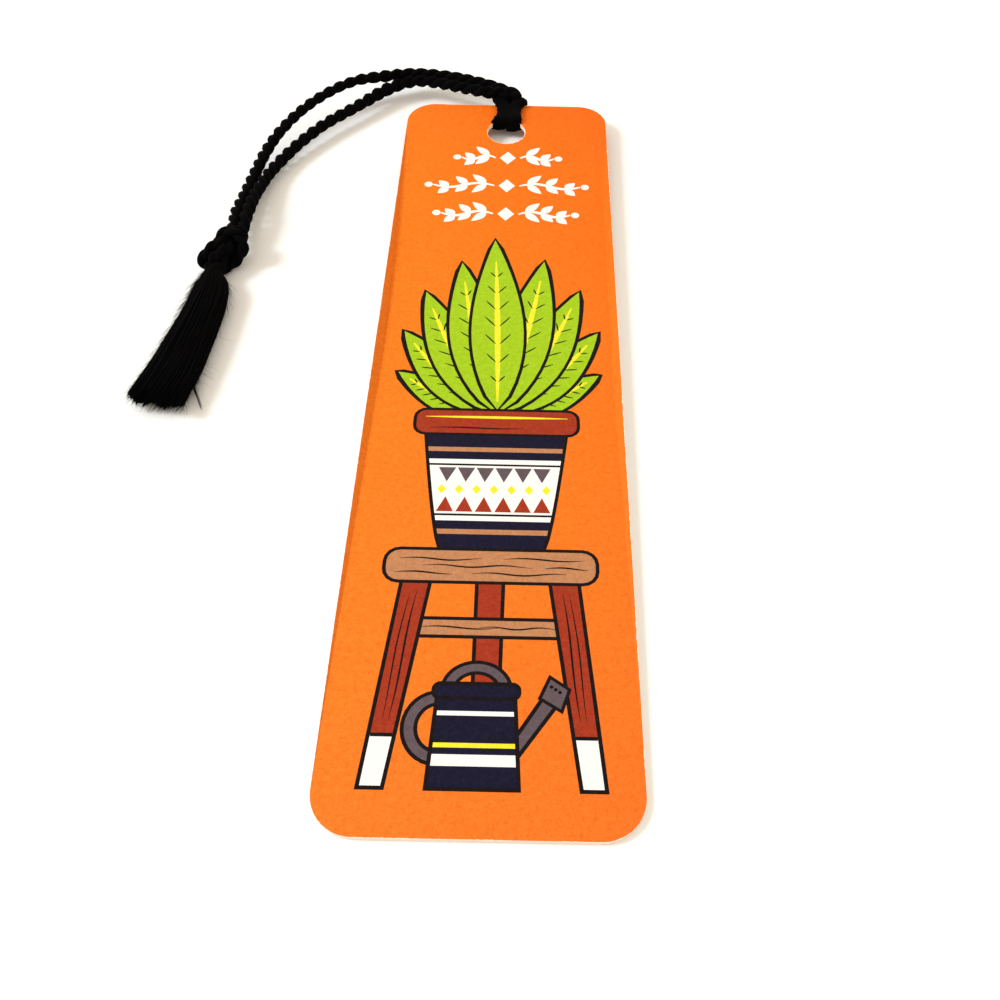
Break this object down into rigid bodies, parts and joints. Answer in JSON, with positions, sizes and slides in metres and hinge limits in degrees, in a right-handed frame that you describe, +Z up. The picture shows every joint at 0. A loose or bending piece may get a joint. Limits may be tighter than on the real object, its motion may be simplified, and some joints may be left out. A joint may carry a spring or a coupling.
{
  "type": "bookmark with tassel",
  "caption": "Thin rounded card bookmark with a punched hole and a black twisted cord hitched through it, knotted and ending in a frayed tassel skirt.",
  "frame": {"origin": "on the table under the middle of the card", "axes": "+X across the card to the right, +Y along the card towards the hole, +Z up from the table, out of the printed front"},
  "size_m": [0.0619, 0.1296, 0.0051],
  "materials": {
    "board": "uncoated white board, cut edge",
    "front_print": "satin print on smooth paper",
    "back_print": "satin print on smooth paper",
    "cord": "two-ply twisted black yarn",
    "fringe": "combed-out black yarn"
  },
  "bodies": {
    "card": {"board_core": "board", "front_print_sheet": "front_print", "back_print_sheet": "back_print", "hitch_bight": "cord", "hitch_tail_left": "cord", "hitch_tail_right": "cord"},
    "cord_root": {"cord_root_outer": "cord", "cord_root_inner": "cord"},
    "cord": {"cord_leg_outer": "cord", "cord_leg_inner": "cord"},
    "tie": {"cord_end_outer": "cord", "cord_end_inner": "cord", "knot": "cord"},
    "skirt": {"skirt_bundle": "fringe", "skirt_wisp": "fringe"}
  },
  "joints": [
    {"name": "cord_flip", "type": "hinge", "parent": "card", "child": "cord_root", "pos_m": [-0.0057, 0.0643, 0.0038], "axis": [0, 1, 0], "range_deg": [0, 110], "deforming": ["cord_root_outer", "cord_root_inner"]},
    {"name": "cord_swing", "type": "hinge", "parent": "cord_root", "child": "cord", "pos_m": [-0.012, 0.067, 0.0032], "axis": [0, 0, 1], "range_deg": [-90, 8], "deforming": ["cord_leg_outer", "cord_leg_inner"]},
    {"name": "tassel_lift", "type": "hinge", "parent": "cord", "child": "tie", "pos_m": [-0.0375, 0.0311, 0.0025], "axis": [-1, 0, 0], "range_deg": [0, 80], "deforming": ["cord_end_outer", "cord_end_inner"]},
    {"name": "skirt_sway", "type": "hinge", "parent": "tie", "child": "skirt", "pos_m": [-0.0397, 0.0174, 0.0021], "axis": [0, 0, 1], "range_deg": [-25, 25]}
  ]
}
